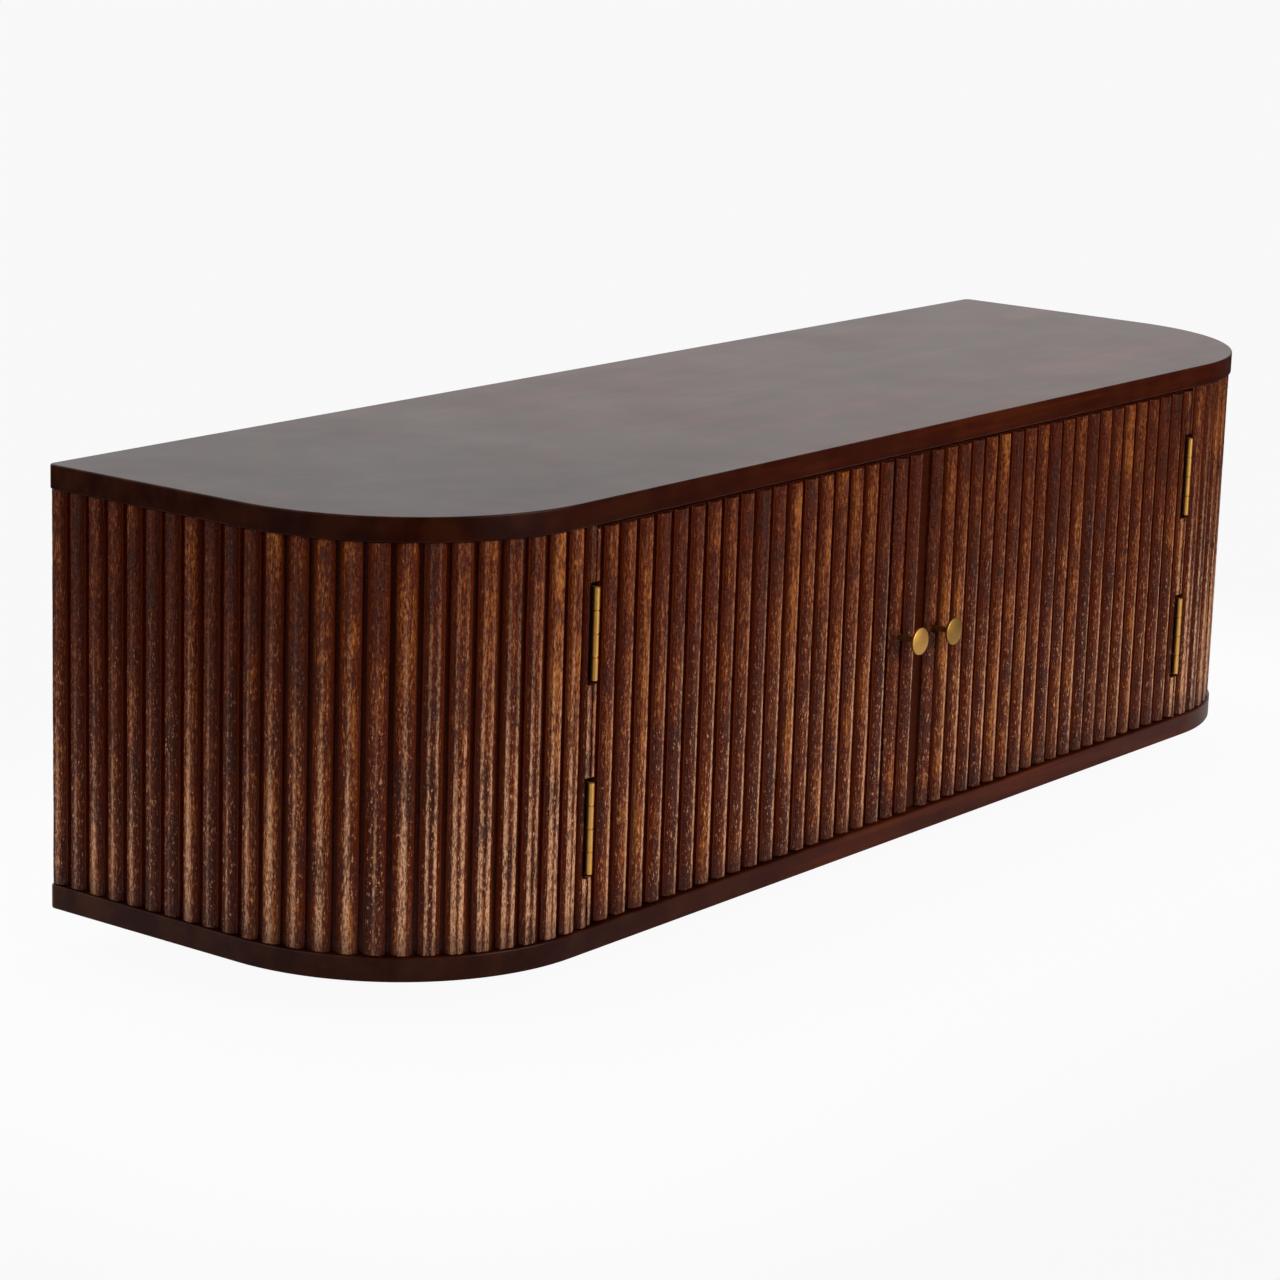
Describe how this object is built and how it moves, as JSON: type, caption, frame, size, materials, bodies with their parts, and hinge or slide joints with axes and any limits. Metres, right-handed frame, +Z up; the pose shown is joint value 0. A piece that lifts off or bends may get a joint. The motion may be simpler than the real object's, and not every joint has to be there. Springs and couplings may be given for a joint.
{
  "type": "floating media console",
  "caption": "Wall-hung media console with rounded reeded ends and a pair of reeded doors on brass butt hinges, under a plain top with rounded front corners.",
  "frame": {"origin": "centre of the bottom board's underside", "axes": "+X to the right along the width, seen from the front; +Y to the back, towards the wall; +Z up. The doors face -Y."},
  "size_m": [1.2, 0.3735, 0.33],
  "materials": {
    "board_wood": "dark chestnut stain, satin lacquer, eased arrises",
    "slat_wood": "chestnut stain varying slat by slat, rough-sawn texture under satin lacquer",
    "case_wood": "dark stained wood, low sheen",
    "back_wood": "dark stained plywood, matt",
    "rail_wood": "unstained softwood, matt",
    "brass": "polished brass, lightly worn",
    "steel": "zinc-plated steel",
    "catch_plastic": "black matt plastic"
  },
  "bodies": {
    "carcass": {"bottom_board": "board_wood", "top_board": "board_wood", "left_end_facing": "slat_wood", "left_end_shell": "case_wood", "left_jamb_post": "case_wood", "left_catch": "catch_plastic", "left_upper_hinge_frame_leaf": "brass", "left_upper_hinge_pin": "brass", "left_upper_hinge_frame_screw_1": "brass", "left_upper_hinge_frame_screw_2": "brass", "left_lower_hinge_frame_leaf": "brass", "left_lower_hinge_pin": "brass", "left_lower_hinge_frame_screw_1": "brass", "left_lower_hinge_frame_screw_2": "brass", "right_end_facing": "slat_wood", "right_end_shell": "case_wood", "right_jamb_post": "case_wood", "right_catch": "catch_plastic", "right_upper_hinge_frame_leaf": "brass", "right_upper_hinge_pin": "brass", "right_upper_hinge_frame_screw_1": "brass", "right_upper_hinge_frame_screw_2": "brass", "right_lower_hinge_frame_leaf": "brass", "right_lower_hinge_pin": "brass", "right_lower_hinge_frame_screw_1": "brass", "right_lower_hinge_frame_screw_2": "brass", "centre_divider": "case_wood", "back_panel": "back_wood", "hanging_rail": "rail_wood", "wall_batten": "rail_wood"},
    "left_door": {"left_door_facing": "slat_wood", "left_door_board": "case_wood", "left_knob": "brass", "left_knob_screw": "steel", "left_strike_plate": "steel", "left_upper_hinge_door_leaf": "brass", "left_upper_hinge_door_screw_1": "brass", "left_upper_hinge_door_screw_2": "brass", "left_lower_hinge_door_leaf": "brass", "left_lower_hinge_door_screw_1": "brass", "left_lower_hinge_door_screw_2": "brass"},
    "right_door": {"right_door_facing": "slat_wood", "right_door_board": "case_wood", "right_knob": "brass", "right_knob_screw": "steel", "right_strike_plate": "steel", "right_upper_hinge_door_leaf": "brass", "right_upper_hinge_door_screw_1": "brass", "right_upper_hinge_door_screw_2": "brass", "right_lower_hinge_door_leaf": "brass", "right_lower_hinge_door_screw_1": "brass", "right_lower_hinge_door_screw_2": "brass"}
  },
  "joints": [
    {"name": "left_door_hinge", "type": "hinge", "parent": "carcass", "child": "left_door", "pos_m": [-0.414, -0.1765, 0.163], "axis": [0, 0, -1], "range_deg": [0, 165]},
    {"name": "right_door_hinge", "type": "hinge", "parent": "carcass", "child": "right_door", "pos_m": [0.414, -0.1765, 0.163], "axis": [0, 0, 1], "range_deg": [0, 165]}
  ]
}
